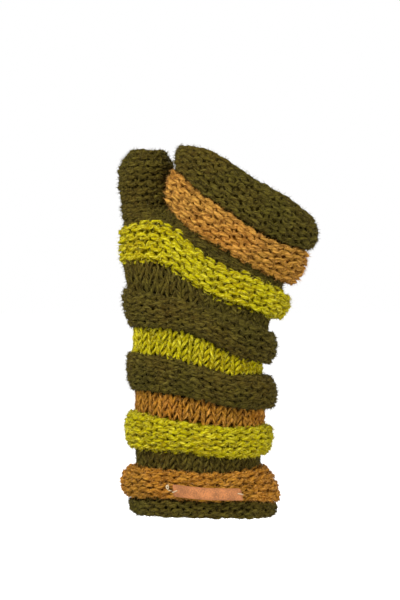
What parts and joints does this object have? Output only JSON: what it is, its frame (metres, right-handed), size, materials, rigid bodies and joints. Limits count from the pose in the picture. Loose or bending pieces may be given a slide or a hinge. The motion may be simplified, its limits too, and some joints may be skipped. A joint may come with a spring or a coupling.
{
  "type": "knitted arm warmer",
  "caption": "Knitted fingerless arm warmer with a thumb, in worn form: flat stripes between swelling welts, curled edges and a small bare leather label on the lowest welt.",
  "frame": {"origin": "middle of the wearer's wrist, inside the tube", "axes": "+Z from the cuff to the fingers, -Y out of the back of the hand, -X towards the thumb"},
  "size_m": [0.1235, 0.0816, 0.2281],
  "materials": {
    "olive_wool": "matte hand-knitted wool, slightly fuzzy",
    "ochre_wool": "matte hand-knitted wool, slightly fuzzy",
    "lime_wool": "matte hand-knitted wool, slightly fuzzy",
    "tan_leather": "soft bare leather, satin"
  },
  "bodies": {
    "root": {"cuff_edge_roll": "olive_wool", "ochre_welt_lower": "ochre_wool", "olive_band_lower": "olive_wool", "lime_welt_lower": "lime_wool", "ochre_band": "ochre_wool", "olive_welt_lower": "olive_wool", "lime_band": "lime_wool", "olive_welt_upper": "olive_wool", "olive_band_upper": "olive_wool", "lime_welt_upper": "lime_wool", "olive_fork": "olive_wool", "ochre_welt_upper": "ochre_wool", "finger_edge_welt": "olive_wool", "thumb_tube": "olive_wool", "thumb_edge_roll": "olive_wool", "leather_label": "tan_leather"}
  },
  "joints": []
}
